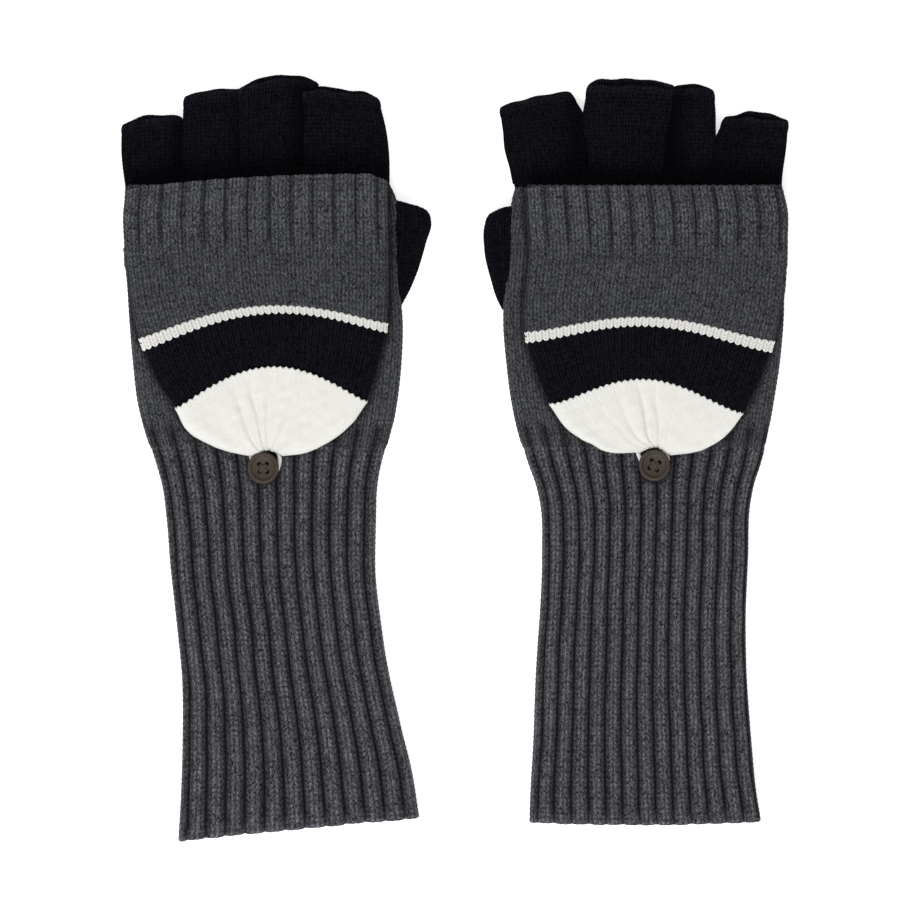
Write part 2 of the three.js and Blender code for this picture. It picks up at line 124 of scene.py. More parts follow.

# A row of a table is (left x, left y, right x, right y, bow): where a row of stitches starts and ends,
# and how far its middle bows towards the fingertips. Tables run from the fingertips to the wrist.
#
# ribs        ribs across the front of the cuff
# first_rib   how many wales of a cut rib lie between the left fold and the first whole one
# lift, tilt  how far a finger is raised, and how much more its left side is; only its top goes down
# lip         how far the underside of a finger's mouth shows past its top
# shade       how much painted shade darkens a finger's left and right sides, where a neighbour lies over it
# tuck_in     the place and the share of its width, given for drawing a piece in under the closed flap; a
#             finger with its own value doesn't take its glove's
# bell        how sharply the flap's rows bow in the middle
# corners     how far the left and right corners of the flap's mouth draw back
# welt        the place of the welt's first groove, and the wales in each of its ribs
# pleats      (place across, width, depth) of each gather in the white tip
# loop        the route of the button loop
# button_turn how far the button is turned, in degrees
LEFT = {
    "side": "left",
    "seed": 11,
    "ribs": 12.5,
    "first_rib": 1.16,
    "cuff": [
        (-42.8, 11.4, 46.6, 11.4, 0),
        (-39.8, 2, 44, 2, 0),
        (-37.5, -6.5, 42.4, -6.5, 0),
        (-35.8, -19, 41.6, -19, 0),
        (-34.4, -36, 41.4, -36, 0),
        (-32.4, -54, 43, -54, 0),
        (-30, -78, 46.6, -77, 0),
        (-29.8, -98, 51, -95, 0),
        (-30.4, -120, 55.2, -114, -0.3),
        (-31.4, -136.9, 57.4, -128.3, 0.2),
    ],
    "hand": [
        (-51.2, 103.9, 46.8, 104.6, 0),
        (-51.4, 99.6, 48.8, 100.4, 0),
        (-51.5, 96, 49.8, 96, 0),
        (-51.2, 82, 50.1, 82, 0),
        (-50.4, 68, 50.2, 68, 0),
        (-49.4, 52, 51.4, 52, 0),
        (-48.2, 38, 50.8, 38, 0),
        (-46.4, 24, 49.2, 24, 0),
        (-44.2, 15, 47.6, 15, 0),
        (-41.1, 5.4, 45, 5.4, 0),
    ],
    "knuckles": [(-51.4, 111, 46.2, 111, 0), (-51, 102, 46, 102, 0)],
    "fingers": {
        "little_finger": {
            "rows": [
                (-52.4, 126.2, -29.8, 128.4, 1.4),
                (-52.8, 118, -29.2, 118, 0.4),
                (-51.2, 103.6, -29, 103.6, 0),
            ],
            "lift": -0.2, "tilt": 0.2, "lip": 1.4, "shade": (0, 0.8),
        },
        "ring_finger": {
            "rows": [
                (-29.3, 136.2, -7.4, 139, 1),
                (-30, 122, -7.6, 122, 0.4),
                (-30.2, 103.8, -7.6, 103.8, 0),
            ],
            "lift": -0.1, "tilt": 0.7, "lip": 1.2, "shade": (0.1, 0.9),
        },
        "middle_finger": {
            "rows": [
                (-9.4, 138.8, 20.4, 141, 3.2),
                (-9, 124, 17, 124, 0.6),
                (-8.6, 104.4, 16, 104.6, 0),
            ],
            "lift": 0.1, "tilt": 0.8, "lip": 1.8, "shade": (0, 0.9),
        },
        "index_finger": {
            "rows": [
                (14.6, 138.8, 42.4, 136, 1.2),
                (14.8, 126, 45.6, 125, 0.4),
                (15, 105, 46.6, 105.6, 0),
            ],
            "lift": 0.2, "tilt": 0.8, "lip": 1.2, "shade": (0, 0),
        },
    },
    "finger_tuck_in": (-2, 0.9),
    "knuckle_tuck_in": (-2, 0.95),
    "thumb": [
        (46.2, 98.8, 60.4, 95, 0.9),
        (46.2, 96, 61.8, 92.2, 0.4),
        (46.2, 84, 60, 83, 0),
        (46.8, 72, 56, 71, 0),
        (47.4, 64.6, 53.2, 64.2, 0),
        (48.2, 60.4, 50.8, 60.2, 0),
    ],
    "bell": 1.25,
    "corners": (0.8, 2.6),
    "welt": (0.12, 2.81),
    "mouth": [
        (-51, 102.4, 45.8, 107.8, 1.6),
        (-51.9, 92, 46, 95, 0.4),
        (-51.5, 83, 46.2, 85.4, 0.4),
        (-51, 75, 46.2, 77.6, 0.8),
    ],
    "panel": [
        (-51.4, 80.4, 46.2, 83, 0.5),
        (-50.6, 71, 46.3, 74, 1.6),
        (-49.4, 62, 46.2, 65, 3.4),
        (-45.4, 46.4, 45.8, 52.2, 9.1),
    ],
    "stripe": [(-45.5, 47.2, 45.8, 52.8, 9.2), (-44.4, 44.1, 45.6, 50.8, 10.1)],
    "band": [(-44.5, 45.1, 45.6, 51.6, 9.9), (-38.8, 32.4, 42.2, 37.6, 13), (-32, 22.2, 38, 24.7, 14.1)],
    "tip": [
        (-32.3, 21.6, 38.2, 24.1, 14),
        (-28.5, 14.3, 33.2, 17, 13.8),
        (-20.8, 9.2, 25, 10.2, 11.1),
        (-12, 5.9, 15.2, 5.6, 6.8),
        (-4.4, 4.4, 7.6, 4.6, 2.6),
    ],
    "back": [
        (-49.6, 103.9, 43.8, 103.9, -0.7),
        (-50.2, 92, 45.2, 92, 0),
        (-50.2, 70, 45.6, 70, 0),
        (-45.6, 50.6, 45.2, 53.4, 3.4),
    ],
    "pleats": [
        (0.41, 0.022, 1.3), (0.6, 0.035, 0.8), (0.5, 0.018, 0.5), (0.3, 0.02, 0.5), (0.7, 0.02, 0.4),
    ],
    "loop": [
        (-2.2, 6.8), (-4.2, 5.6), (-4.4, 3.4), (-3.7, 0.4), (-1.8, -2.6), (1.6, -3.4),
        (4.3, -1.8), (5.7, 0.9), (6, 3.6), (5.2, 6.2), (3.2, 7.2),
    ],
    "button_turn": 2,
}

RIGHT = {
    "side": "right",
    "seed": 47,
    "ribs": 14,
    "first_rib": 1.4,
    "cuff": [
        (-49.4, 10.4, 42, 10.4, 0),
        (-46.2, 0, 39.4, 0, 0),
        (-44, -6, 37.4, -6, 0),
        (-42, -14, 35.7, -14, 0),
        (-41.4, -34, 34.7, -34, 0),
        (-42.2, -54, 33.9, -54, 0),
        (-43.5, -80, 34.4, -80, 0),
        (-44.6, -102, 36, -102, 0),
        (-45.5, -120, 37.7, -120, -0.5),
        (-45.8, -131, 39.4, -130.6, -1),
    ],
    "hand": [
        (-51.4, 102.4, 47.6, 102.4, 0),
        (-52.4, 98.6, 48.2, 98.6, 0),
        (-53.2, 94, 48.4, 94, 0),
        (-54.2, 82, 48.3, 82, 0),
        (-55.1, 68, 48.1, 68, 0),
        (-55.7, 52, 47.7, 52, 0),
        (-54.5, 38, 46.4, 38, 0),
        (-52.8, 24, 44.3, 24, 0),
        (-50.9, 15, 42.8, 15, 0),
        (-47.9, 4.8, 40.7, 4.8, 0),
    ],
    "knuckles": [(-53, 110, 47.4, 110, 0), (-51.2, 101, 47.2, 101, 0)],
    "fingers": {
        "little_finger": {
            "rows": [
                (26, 126.8, 49.6, 126.2, 1.4),
                (22.2, 120.5, 48.8, 118, 0.4),
                (21.4, 112, 48.2, 111, 0.2),
                (21, 103.6, 47.6, 103.6, 0),
            ],
            "lift": 0.2, "tilt": 0.5, "lip": 2.2, "shade": (0.3, 0),
        },
        "ring_finger": {
            "rows": [
                (6, 138.2, 22, 137.4, 1.4),
                (3, 122, 22.9, 122, 0.4),
                (0.6, 103.6, 22.6, 103.6, 0),
            ],
            "lift": -0.2, "tilt": -0.8, "lip": 1.2, "shade": (0.9, 0),
        },
        "middle_finger": {
            "rows": [
                (-24.4, 139.2, 7.8, 138, 1.2),
                (-26.4, 130, 6, 130, 0.8),
                (-25.2, 117, 4.2, 117, 0.3),
                (-23.8, 103.6, 2.8, 103.6, 0),
            ],
            "lift": 0.3, "tilt": -0.5, "lip": 2.8, "shade": (0, 0.1),
        },
        "index_finger": {
            "rows": [
                (-57, 131, -30.8, 137.2, 0.8),
                (-56.2, 124, -25.8, 129, 0.5),
                (-55, 115, -23.8, 116, 0.3),
                (-52.4, 104.6, -22.6, 103.8, 0),
            ],
            "lift": 0, "tilt": 0.6, "lip": 1.2, "shade": (0, 0.8), "tuck_in": (-22.6, 0.56),
        },
    },
    "finger_tuck_in": (0, 0.9),
    "knuckle_tuck_in": (0, 0.87),
    "thumb": [
        (-61, 92.4, -49.6, 95.4, 0.9),
        (-62.5, 89.6, -49.7, 92.6, 0.4),
        (-62.6, 80, -50, 82, 0),
        (-60.2, 68.4, -51.2, 69, 0),
        (-58.4, 62.4, -52.2, 62.4, 0),
        (-56.4, 58.2, -53.8, 58.2, 0),
    ],
    "bell": 1.6,
    "corners": (0.6, 1.2),
    "welt": (0.6, 2.8),
    "mouth": [
        (-47.9, 102, 47.4, 102.2, 0.2),
        (-47.3, 92, 49.2, 93, 0.2),
        (-46.2, 82, 48.9, 82, 0.3),
        (-45.9, 74, 48.6, 74, 0.8),
    ],
    "panel": [
        (-45.9, 79.4, 48.8, 79.4, 0.5),
        (-46.9, 70, 48.3, 70, 1.6),
        (-48.2, 60.5, 47.6, 60.5, 3.4),
        (-47.8, 48, 43.9, 44.8, 7.1),
    ],
    "stripe": [(-47.6, 48.6, 44, 45.2, 7.1), (-47.4, 46.1, 43.2, 42.5, 7.7)],
    "band": [
        (-47.4, 46.9, 43.3, 43.3, 7.6),
        (-43.4, 34.2, 38.2, 30.4, 10.2),
        (-38.3, 22, 32.2, 18.6, 10.6),
    ],
    "tip": [
        (-38.6, 22.2, 32.5, 18.8, 10.7),
        (-32.6, 13.8, 27.6, 12.2, 10.8),
        (-23.6, 8, 20.8, 7.2, 8.8),
        (-13.8, 4.6, 13.2, 4.6, 5.2),
        (-5.6, 4.9, 6.6, 3.8, 2.7),
    ],
    "back": [
        (-46.8, 102.9, 46.8, 102.9, -0.7),
        (-46, 92, 48.2, 92, 0),
        (-45.6, 70, 47.8, 70, 0),
        (-47, 50.2, 43.6, 46.6, 2.8),
    ],
    "pleats": [
        (0.46, 0.02, 0.9), (0.56, 0.022, 1.0), (0.66, 0.02, 0.5), (0.35, 0.022, 0.6), (0.25, 0.02, 0.3),
    ],
    "loop": [
        (1.8, 7.2), (3.6, 5.6), (4.7, 3.5), (4.9, 1.2), (3.4, -1.8), (0, -3.4),
        (-3, -2), (-4.4, 0.2), (-5.2, 2.6), (-6, 5), (-4.6, 7.1),
    ],
    "button_turn": -16,
}


# ---- shapes of cloth

def through(stations, values, at):
    """A cubic through the values at the stations, for every column of values."""
    x, y = np.asarray(stations, float), np.asarray(values, float)
    slope = np.gradient(y, x, axis=0)
    k = np.clip(np.searchsorted(x, at, side="right") - 1, 0, len(x) - 2)
    span = (x[k + 1] - x[k])[:, None]
    u = (at - x[k])[:, None] / span
    start = (2 * u**3 - 3 * u**2 + 1) * y[k] + (u**3 - 2 * u**2 + u) * span * slope[k]
    end = (3 * u**2 - 2 * u**3) * y[k + 1] + (u**3 - u**2) * span * slope[k + 1]
    return start + end


def run_along(points):
    """How far each point is from the first one, along the line through them."""
    return np.concatenate([[0], np.cumsum(np.linalg.norm(np.diff(points, axis=0), axis=1))])


def near(distance, reach):
    """1 at distance 0, falling smoothly to 0 at the reach."""
    t = np.clip(1 - distance / reach, 0, 1)
    return t * t * (3 - 2 * t)


def ripple(x, y, size, seed):
    """An irregular wave over the plane, about -1 to 1, with folds of roughly the given size."""
    rng = np.random.default_rng(seed)
    total = 0 * x
    for _ in range(7):
        angle, phase = rng.uniform(0, 2 * math.pi, 2)
        wave = 2 * math.pi / (size * rng.uniform(0.7, 1.6))
        total = total + np.sin(wave * (x * math.cos(angle) + y * math.sin(angle)) + phase)
    return total / 4


def half_section(width, low, high, edge):
    """A flattened tube cut across: distances from its left fold, and the heights above and below."""
    corner = np.linspace(0, math.pi / 2, 14)
    reach = min(edge, width / 2)
    flat = np.linspace(reach, width - reach, 24)[1:-1]
    bend = reach * (1 - np.cos(corner))
    across = np.concatenate([bend, flat, width - bend[::-1]])
    rise = np.concatenate([np.sin(corner), np.ones(len(flat)), np.sin(corner[::-1])])
    middle = (low + high) / 2
    return across, middle + (high - middle) * rise, middle - (middle - low) * rise


def across_line(row, share, bell):
    """Where the points at these shares of a row's width lie in plan. bell sharpens the row's bow."""
    xl, yl, xr, yr, bow = row
    return xl + (xr - xl) * share, yl + (yr - yl) * share + bow * (1 - (2 * share - 1) ** 2) ** bell


class Cloth:
    """The outside of a flattened knitted tube, or of its upper or lower half, sampled row by row.

    It is made from rows, low, high and edge, which say where the tube lies, how high its underside and its
    top are, and how wide its rounded sides are. count is its width in wales and course the height of a
    course. half keeps only one half, fine and under are the samples in each wale above and below, first
    is how far in from the left fold wale 0 starts, and bell shapes the bow of the rows.

    Once made, points is a grid of rows by columns. wale numbers the columns of stitches, across the top
    and back underneath, and course the rows of stitches from the fingertip end. face is 0 underneath
    and 1 on top, and painted_shading is the painted shade at each point, in grooves, creases and places
    that another piece covers or shadows, with a painted highlight where it is below 0."""

    def __init__(self, rows, low, high, count, course, edge=7.0, half=None,
                 fine=PER_WALE, under=PER_WALE_UNDER, first=0.0, bell=1.0):
        rows = np.array(rows, float)
        bowed = (rows[:, 1] + rows[:, 3]) / 2 + rows[:, 4]
        middle = np.column_stack([(rows[:, 0] + rows[:, 2]) / 2, bowed])
        stations = run_along(middle)
        self.length = stations[-1]
        courses = max(2, round(self.length / course))
        self.count = count
        self.closed = half is None
        places = np.linspace(0, self.length, courses * PER_COURSE + 1)
        levels = [np.broadcast_to(np.asarray(a, float), len(rows)) for a in (low, high, edge)]
        table = through(stations, np.column_stack([rows, *levels]), places)
        over = np.linspace(0, count, round(count * fine) + 1)
        beneath = np.linspace(count, 2 * count, round(count * under) + 1)
        wale = {None: np.concatenate([over, beneath[1:-1]]), "upper": over, "lower": beneath}[half]
        top = wale <= count if half != "lower" else np.zeros(len(wale), bool)
        grid = np.empty((len(places), len(wale), 3))
        for i, line in enumerate(table):
            width = line[2] - line[0]
            across, above, below = half_section(width, line[5], line[6], line[7])
            for part, height in ((top, above), (~top, below)):
                arc = run_along(np.column_stack([across, height]))
                share = wale[part] / count if height is above else 2 - wale[part] / count
                reach = np.interp(share * arc[-1], arc, across)
                place = across_line(line[:5], np.clip(reach / width, 0, 1), bell)
                grid[i, part, 0], grid[i, part, 1] = place
                grid[i, part, 2] = np.interp(share * arc[-1], arc, height)
        self.points = grid
        self.wale, self.course = np.meshgrid(wale - first, places / (self.length / courses))
        self.from_top = np.broadcast_to(places[:, None], self.wale.shape)
        self.from_end = self.length - self.from_top
        self.face = np.clip((grid[..., 2] - table[:, 5:6]) / (table[:, 6:7] - table[:, 5:6]), 0, 1)
        self.painted_shading = np.zeros(self.wale.shape)

    def frames(self):
        """Directions down the rows and out of the cloth."""
        down = np.gradient(self.points, axis=0)
        if self.closed:
            side = np.roll(self.points, -1, axis=1) - np.roll(self.points, 1, axis=1)
        else:
            side = np.gradient(self.points, axis=1)
        out = np.cross(down, side)
        out /= np.maximum(np.linalg.norm(out, axis=2, keepdims=True), 1e-9)
        down /= np.maximum(np.linalg.norm(down, axis=2, keepdims=True), 1e-9)
        return down, out

    def fix_inside(self):
        """Takes the cloth as it is now as the shape its inside follows."""
        self.body = self.points.copy()
        self.body_out = self.frames()[1]

    def lift(self, height):
        """Moves the cloth outwards."""
        self.points = self.points + self.frames()[1] * height[..., None]

    def wave(self, height, size, seed, where=1.0):
        """Raises irregular waves in the cloth."""
        self.lift(height * ripple(self.x(), self.y(), size, seed) * where)

    def waver(self, height, size, seed):
        """Makes the edge of a tube's mouth wander along the hand."""
        wander = ripple(self.x(), self.points[..., 2], size, seed)
        self.points[..., 1] += height * near(self.from_top, 6) * wander

    def press(self, depth):
        """Flattens the tube by the depth on each face, without narrowing it."""
        self.points[..., 2] -= depth * (2 * self.face - 1)

    def lean(self, height=STITCH_CLIMB):
        """Draws each row into a chain of Vs, as the two legs of each stitch lean together."""
        climb = (np.abs(2 * (self.wale % 1) - 1) - 0.5) * height
        self.points = self.points - self.frames()[0] * climb[..., None]

    def stitch(self, relief):
        """Raises the two legs of each stitch."""
        leg = np.abs(2 * (self.wale % 1) - 1)
        legs = 0.3 * (1 - leg**2) + 0.7 * np.sin(math.pi * leg)
        self.lift(relief * legs * (0.78 + 0.22 * np.cos(2 * math.pi * self.course)))

    def x(self):
        return self.points[..., 0]

    def y(self):
        return self.points[..., 1]


def turned_edge(outer, inner, outward, stop):
    """Pairs of rows that round an edge, one row from its outer side and one from its inner side."""
    middle, half = (outer + inner) / 2, (outer - inner) / 2
    depth = np.linalg.norm(half, axis=1, keepdims=True)
    outward = outward / np.maximum(np.linalg.norm(outward, axis=1, keepdims=True), 1e-9)
    pairs = []
    for i in range(1, RIM_STEPS + (stop < math.pi)):
        angle = stop * i / RIM_STEPS
        across, past = half * math.cos(angle), outward * depth * math.sin(angle)
        pairs.append((middle + across + past, middle - across + past))
    return pairs


def turned_ends(outer, inner, stop):
    """The rows round both ends of a shell, in the order of its rows."""
    first = turned_edge(outer[0], inner[0], outer[0] - outer[1], stop)[::-1]
    return first, turned_edge(outer[-1], inner[-1], outer[-1] - outer[-2], stop)


def knit_quads(loops, wale, closing_wale, course):
    """Quads over a grid of points that closes sideways, and the wale and course at their corners."""
    count, width = loops.shape[:2]
    index = np.arange(count * width).reshape(count, width)
    u = np.broadcast_to(wale, (count, width))
    u_right = np.broadcast_to([*wale[1:], closing_wale], (count, width))
    v = np.broadcast_to(course[:, None], (count, width))

    def corners(left, right):
        return np.stack([left, np.roll(left, -1, axis=0), np.roll(right, -1, axis=0), right], -1)

    return corners(index, np.roll(index, -1, axis=1)), np.stack([corners(u, u_right), corners(v, v)], -1)


def tube_shell(name, cloth, thickness, base):
    """The mesh of a whole tube: its outside, two rounded edges and its inside."""
    outer = cloth.points
    picked = sorted({*range(0, len(outer), INNER_SKIP), len(outer) - 1})
    inner = (cloth.body - cloth.body_out * thickness)[picked]
    first, last = ([a for a, _ in end] for end in turned_ends(outer, inner, math.pi))
    loops = np.array([*first, *outer, *last, *inner[::-1]])
    rows = [0] * len(first) + list(range(len(outer))) + [-1] * len(last) + picked[::-1]
    closing_wale = cloth.wale[0, 0] + 2 * cloth.count
    faces, uv = knit_quads(loops, cloth.wale[0], closing_wale, cloth.course[rows, 0])
    return to_object(name, loops, faces, uv, base, cloth.painted_shading[rows])


def strip_shell(name, cloth, thickness, base):
    """The mesh of half a tube, with rounded ends and plain sides that meet the other half."""
    outer, inner = cloth.points, cloth.body - cloth.body_out * thickness
    first, last = turned_ends(outer, inner, STRIP_TURN)
    pairs = [*first, *zip(outer, inner), *last]
    loops = np.array([np.concatenate([a, b[::-1]]) for a, b in pairs])
    rows = [0] * len(first) + list(range(len(outer))) + [-1] * len(last)
    wale, course = np.concatenate([cloth.wale[0], cloth.wale[0][::-1]]), cloth.course[rows, 0]
    faces, uv = knit_quads(loops, wale, wale[0], course)
    faces, uv = faces[:-1].reshape(-1, 4), uv[:-1].reshape(-1, 2)
    half = len(cloth.wale[0])
    for row, turn in ((0, 1), (len(loops) - 1, -1)):
        here, there = row * 2 * half + np.arange(half), (row + 1) * 2 * half - 1 - np.arange(half)
        cap = np.stack([here[:-1], here[1:], there[1:], there[:-1]], -1)[:, ::turn]
        place = np.column_stack([wale[: half - 1], np.full(half - 1, course[row])])
        faces, uv = np.concatenate([faces, cap]), np.concatenate([uv, np.repeat(place, 4, axis=0)])
    painted_shading = np.concatenate([cloth.painted_shading, cloth.painted_shading[:, ::-1]], axis=1)[rows]
    return to_object(name, loops, faces, uv, base, painted_shading)


def add_object(name, data):
    """An object in the scene with this mesh, light or camera."""
    made = bpy.data.objects.new(name, data)
    bpy.context.scene.collection.objects.link(made)
    return made


def to_object(name, points, faces, uv, base, painted_shading=None):
    """A smooth mesh of quads from points in a glove's millimetres. painted_shading is the painted shade at
    each point, a painted highlight where it is below 0.
    """
    placed = np.array(points, float).reshape(-1, 3) * MM + np.array(base)
    faces = faces.reshape(-1, 4)
    placed[:, 2] = np.maximum(placed[:, 2], FLOOR_CLEARANCE * MM)
    mesh = bpy.data.meshes.new(name)
    mesh.vertices.add(len(placed))
    mesh.vertices.foreach_set("co", placed.ravel())
    mesh.loops.add(faces.size)
    mesh.loops.foreach_set("vertex_index", faces.ravel())
    mesh.polygons.add(len(faces))
    mesh.polygons.foreach_set("loop_start", np.arange(len(faces)) * 4)
    mesh.polygons.foreach_set("use_smooth", np.ones(len(faces), bool))
    layer = mesh.uv_layers.new(name="knit")
    layer.data.foreach_set("uv", np.array(uv, float).ravel())
    if painted_shading is not None:
        shading_paint = mesh.attributes.new("painted_shading", "FLOAT", "POINT")
        shading_paint.data.foreach_set("value", np.array(painted_shading, np.float32).ravel())
    mesh.update()
    mesh.validate()
    return add_object(name, mesh)


def yarn(name, path, radius, base, plies, lay, closed=False, sides=18, step=0.16):
    """A plied yarn swept along a path of 3-D points. lay is how far a ply goes in one turn."""
    path = np.array(path, float)
    if closed:
        path = np.concatenate([path, path[:1]])
    stations = run_along(path)
    count = max(8, round(stations[-1] / step))
    at = np.linspace(0, stations[-1], count + 1)
    if closed:
        long = np.concatenate([path[-4:-1], path, path[1:4]])
        run = run_along(long)
        centre = through(run, long, at + run[3])[:-1]
        along = np.roll(centre, -1, axis=0) - np.roll(centre, 1, axis=0)
    else:
        centre = through(stations, path, at)
        along = np.gradient(centre, axis=0)
    along /= np.linalg.norm(along, axis=1, keepdims=True)
    up = np.array([0, 0, 1.0]) if abs(along[:, 2]).max() < 0.9 else np.array([0.3, 1.0, 0.1])
    side = np.cross(along, up)
    side /= np.linalg.norm(side, axis=1, keepdims=True)
    over = np.cross(side, along)
    around = np.linspace(0, 2 * math.pi, sides, endpoint=False)
    turns = round(stations[-1] / lay) if closed else stations[-1] / lay
    twist = 2 * math.pi * turns * np.arange(len(centre))[:, None] / count
    swell = radius * (0.87 + 0.13 * np.abs(np.cos(plies * (around[None] - twist) / 2)) ** 0.7 * 1.6)
    if not closed:
        ends = np.minimum(at, stations[-1] - at)[:, None]
        swell = swell * np.sqrt(np.clip(1 - (1 - np.minimum(ends / radius, 1)) ** 2, 0.01, 1))
    ring = side[:, None] * np.cos(around)[None, :, None] + over[:, None] * np.sin(around)[None, :, None]
    points = centre[:, None] + ring * swell[..., None]
    count, width = points.shape[:2]
    index = np.arange(count * width).reshape(count, width)
    below = np.roll(index, -1, axis=0)
    faces = np.stack([index, np.roll(index, -1, axis=1), np.roll(below, -1, axis=1), below], -1)
    faces = (faces if closed else faces[:-1]).reshape(-1, 4)
    v, u = np.meshgrid(np.arange(count) * step / lay, np.arange(width) / width, indexing="ij")
    u_next, v_next = u + 1 / width, v + step / lay
    uv = np.stack([np.stack(p, -1) for p in ((u, v), (u_next, v), (u_next, v_next), (u, v_next))], 2)
    uv = (uv if closed else uv[:-1]).reshape(-1, 2)
    if not closed:
        for row in (0, count - 1):
            cap = index[row, :: width // 4][:4]
            faces = np.concatenate([faces, [cap if row else cap[::-1]]])
            uv = np.concatenate([uv, np.zeros((4, 2))])
    return to_object(name, points, faces, uv, base)


# ---- materials

class Shader:
    """Short names for building a material's nodes."""

    def __init__(self, name):
        self.material = bpy.data.materials.new(name)
        self.material.use_nodes = True
        self.tree = self.material.node_tree
        self.surface = self.tree.nodes["Principled BSDF"]

    def put(self, node, values):
        """Sets or links a node's inputs, by their names or numbers."""
        for key, value in values.items():
            if isinstance(value, bpy.types.NodeSocket):
                self.tree.links.new(value, node.inputs[key])
            else:
                node.inputs[key].default_value = value

    def node(self, kind, values=None, **settings):
        made = self.tree.nodes.new("ShaderNode" + kind)
        for key, value in settings.items():
            setattr(made, key, value)
        self.put(made, values or {})
        return made

    def math(self, operation, a, b=0.0, c=0.0):
        return self.node("Math", {0: a, 1: b, 2: c}, operation=operation).outputs[0]

    def noise(self, vector, scale, detail, roughness):
        values = {"Vector": vector, "Scale": scale, "Detail": detail, "Roughness": roughness}
        return self.node("TexNoise", values).outputs["Fac"]

    def random(self, x, y):
        both = self.node("CombineXYZ", {0: x, 1: y})
        made = self.node("TexWhiteNoise", {"Vector": both.outputs[0]}, noise_dimensions="2D")
        return made.outputs["Value"]

    def colours(self, factor, dark, light):
        made = self.node("Mix", data_type="RGBA")
        self.put(made, {0: factor, 6: (*dark, 1), 7: (*light, 1)})
        return made.outputs[2]

    def place(self):
        return self.node("TexCoord").outputs["Object"]

    def knit_place(self):
        """The wale and the course at each point."""
        split = self.node("SeparateXYZ", {0: self.node("UVMap", uv_map="knit").outputs[0]})
        return split.outputs[0], split.outputs[1]

    def finish(self, colour, height, depth, roughness, sheen, specular):
        bump = self.node("Bump", {"Strength": 1.0, "Distance": depth, "Height": height})
        self.put(self.surface, {"Base Color": colour, "Normal": bump.outputs[0], "Roughness": roughness})
        self.put(self.surface, {"Specular IOR Level": specular, "Sheen Weight": sheen})
        self.put(self.surface, {"Sheen Roughness": 0.6})
        return self.material


def knit_material(name, dark, light, middle, heather, speckle, gap, bump, painted_shade_depth=0.75, sheen=0.05):
    """Plain knit: each stitch is two leaning legs of spun yarn, flecked leg by leg and fibre by fibre.

    middle is the usual share of the light colour, heather and speckle vary it by leg and by fibre, gap
    is how much painted shade darkens the hollows between stitches, bump is their depth in millimetres, and
    painted_shade_depth is how strongly the mesh's painted shading darkens grooves, creases and covered
    places."""
    s = Shader(name)
    u, v = s.knit_place()
    leg = s.math("ABSOLUTE", s.math("SUBTRACT", s.math("MULTIPLY", s.math("FRACT", u), 2.0), 1.0))
    curve = s.math("SUBTRACT", 1.0, s.math("MULTIPLY", leg, leg))
    round_leg = s.math("SINE", s.math("MULTIPLY", leg, math.pi))
    legs = s.math("ADD", s.math("MULTIPLY", curve, 0.22), s.math("MULTIPLY", round_leg, 0.78))
    turn = s.math("COSINE", s.math("MULTIPLY", v, 2 * math.pi))
    stitch = s.math("MULTIPLY", legs, s.math("MULTIPLY_ADD", turn, 0.25, 0.75))
    place = s.place()
    stretched = s.node("Mapping", {"Vector": place, "Scale": (1.0, 0.55, 1.0)}).outputs[0]
    fibre = s.noise(stretched, 3200.0, 3.0, 0.7)
    fleck = s.noise(stretched, 1900.0, 2.0, 0.6)
    blotch = s.noise(place, 60.0, 2.0, 0.5)
    fleck_of_leg = s.random(s.math("FLOOR", s.math("MULTIPLY", u, 2.0)), s.math("FLOOR", v))
    share = middle
    by_leg, by_place = (fleck_of_leg, heather), (blotch, heather * 0.5)
    for source, amount in (by_leg, (fleck, speckle * 2.2), (fibre, speckle * 1.5), by_place):
        share = s.math("MULTIPLY_ADD", s.math("SUBTRACT", source, 0.5), amount, share)
    # Painted shade: darker between the stitch legs, and darker where the mesh's painted shading is high,
    # lighter where it is below 0
    shade = s.math("MULTIPLY_ADD", stitch, gap, 1 - gap)
    shading_paint = s.node("Attribute", attribute_name="painted_shading").outputs["Fac"]
    shade = s.math("MULTIPLY", shade, s.math("MULTIPLY_ADD", shading_paint, -painted_shade_depth, 1.0))
    factor = s.math("MULTIPLY", s.math("MAXIMUM", share, 0.02), shade)
    colour = s.colours(s.math("MINIMUM", factor, 1.0), dark, light)
    height = s.math("MULTIPLY_ADD", fibre, 0.45, stitch)
    return s.finish(colour, height, bump * MM, 1.0, sheen, 0.04)


def yarn_material(name, dark, light, bump, roughness=0.95):
    """Spun yarn, with fine fibres and slow changes of shade."""
    s = Shader(name)
    place = s.place()
    fibre = s.noise(place, 2600.0, 3.0, 0.65)
    blotch = s.noise(place, 500.0, 1.0, 0.5)
    share = s.math("ADD", s.math("MULTIPLY", fibre, 0.6), s.math("MULTIPLY", blotch, 0.4))
    return s.finish(s.colours(share, dark, light), fibre, bump * MM, roughness, 0.05, 0.05)


def button_material():
    """Brown nut or resin: a close mottle under a fine grain, with a satin finish."""
    s = Shader("button")
    place = s.place()
    mottle = s.noise(place, 420.0, 4.0, 0.65)
    grain = s.noise(place, 2400.0, 2.0, 0.5)
    share = s.math("MULTIPLY_ADD", grain, 0.35, s.math("MULTIPLY", mottle, 0.75))
    colour = s.colours(share, (0.012, 0.0082, 0.0048), (0.07, 0.0505, 0.035))
    return s.finish(colour, grain, 0.04 * MM, roughness=0.52, sheen=0.0, specular=0.32)


def light_grey(value):
    return (value * 0.945, value * 0.985, value * 1.09)


def warm_grey(value):
    return (value * 0.985, value * 0.955, value * 1.08)


def grey_material(name, value, speckle, painted_shade_depth):
    """The plain charcoal knit, as light as the value."""
    dark, light = light_grey(0.002), light_grey(value)
    return knit_material(name, dark, light, 0.4, 0.16, speckle, 0.68, 0.26, painted_shade_depth)


